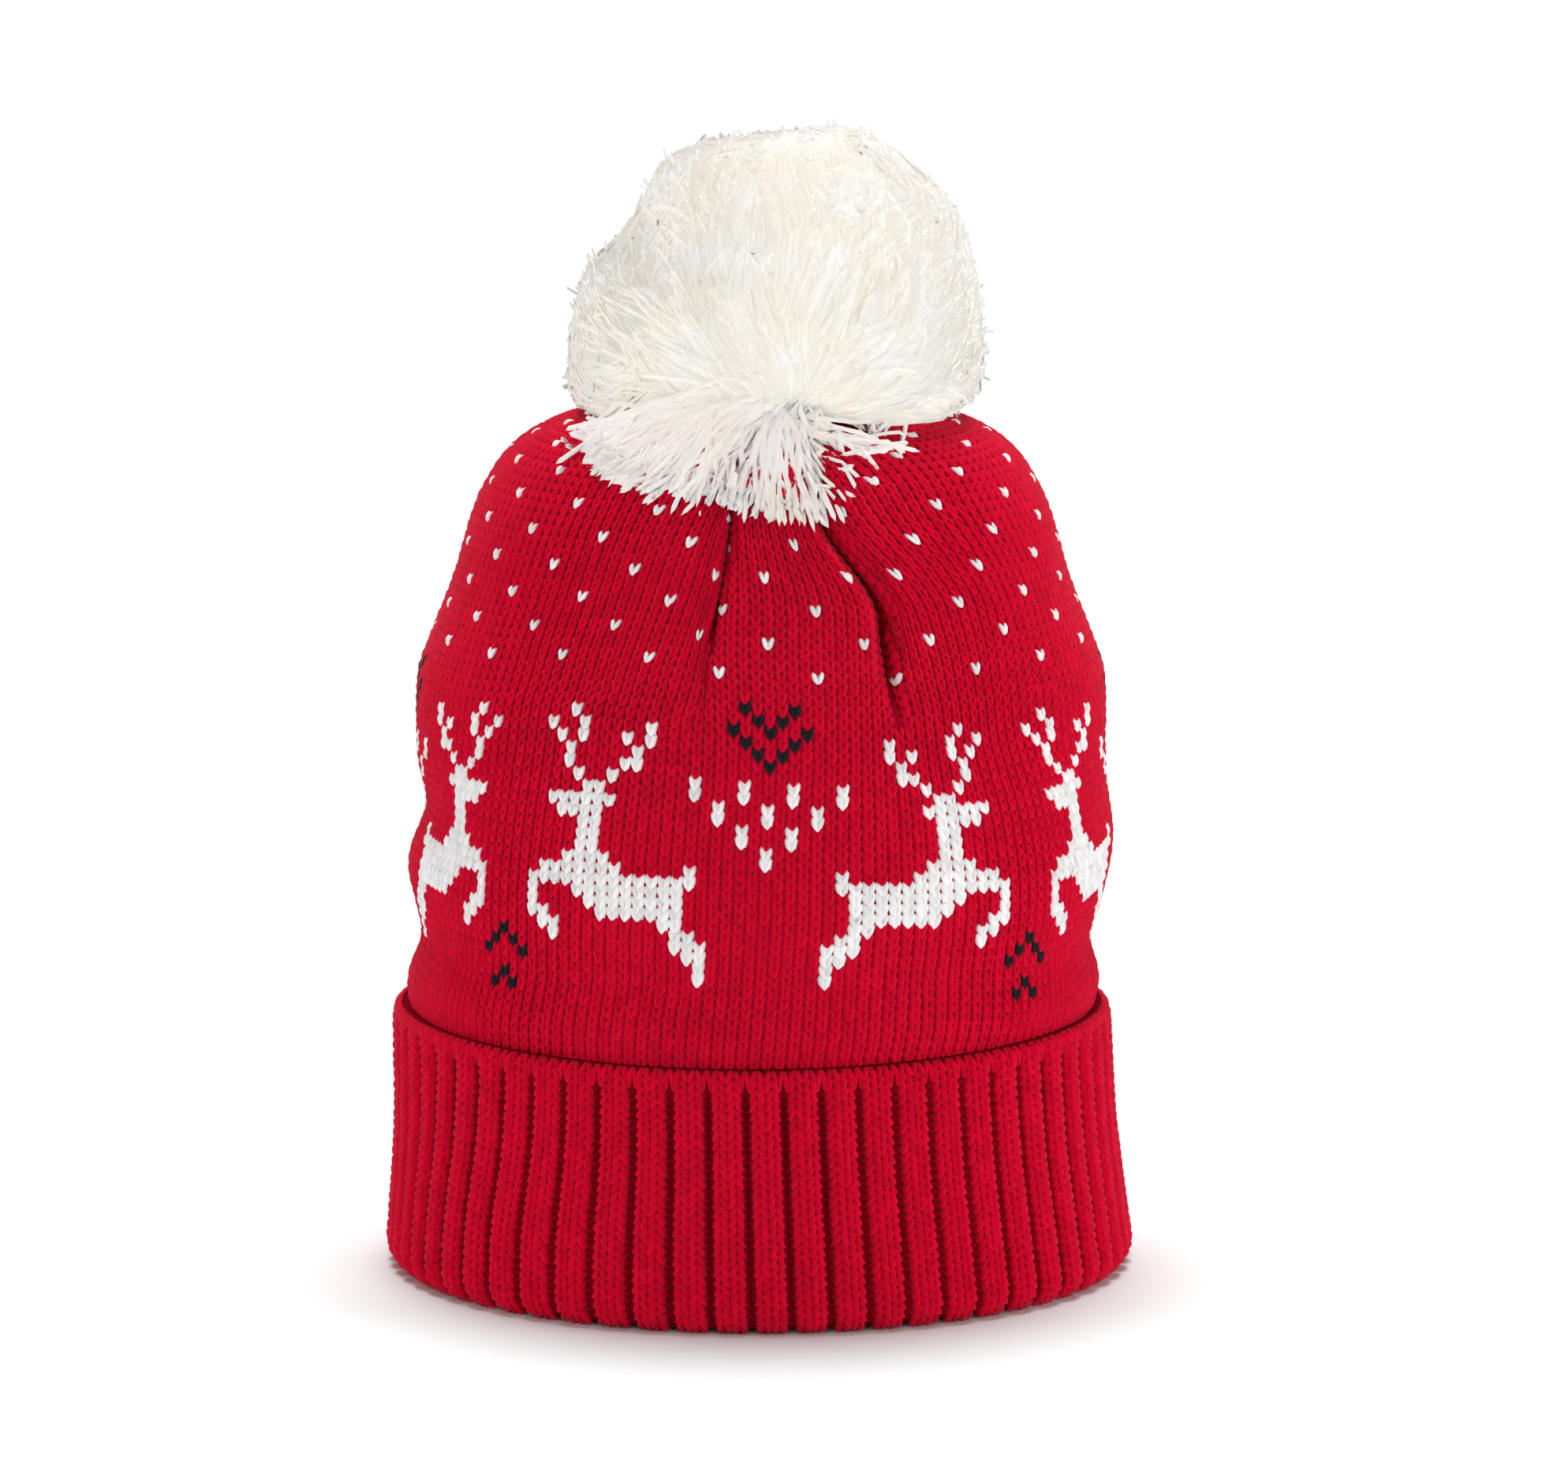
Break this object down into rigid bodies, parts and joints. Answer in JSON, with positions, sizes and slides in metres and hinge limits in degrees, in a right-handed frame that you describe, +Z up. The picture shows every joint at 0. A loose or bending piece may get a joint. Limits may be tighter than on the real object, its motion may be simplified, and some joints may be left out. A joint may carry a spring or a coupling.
{
  "type": "knitted bobble hat",
  "caption": "Red knitted winter hat with a reindeer band, a turned-up ribbed cuff and a large cream yarn pompom, standing on its cuff",
  "frame": {"origin": "on the floor, in the middle of the cuff's bottom fold", "axes": "+Z up from the cuff to the pompom, -Y is the front of the hat"},
  "size_m": [0.1905, 0.1906, 0.2895],
  "materials": {
    "red_rib": "ribbed red yarn, matt",
    "red_knit": "stocking stitch in red yarn with white and black stitches, matt",
    "cream_yarn": "soft cut yarn, matt",
    "tie_yarn": "twisted yarn, matt"
  },
  "bodies": {
    "root": {"cuff": "red_rib", "crown": "red_knit", "pompom": "cream_yarn", "pompom_tie": "tie_yarn"}
  },
  "joints": []
}
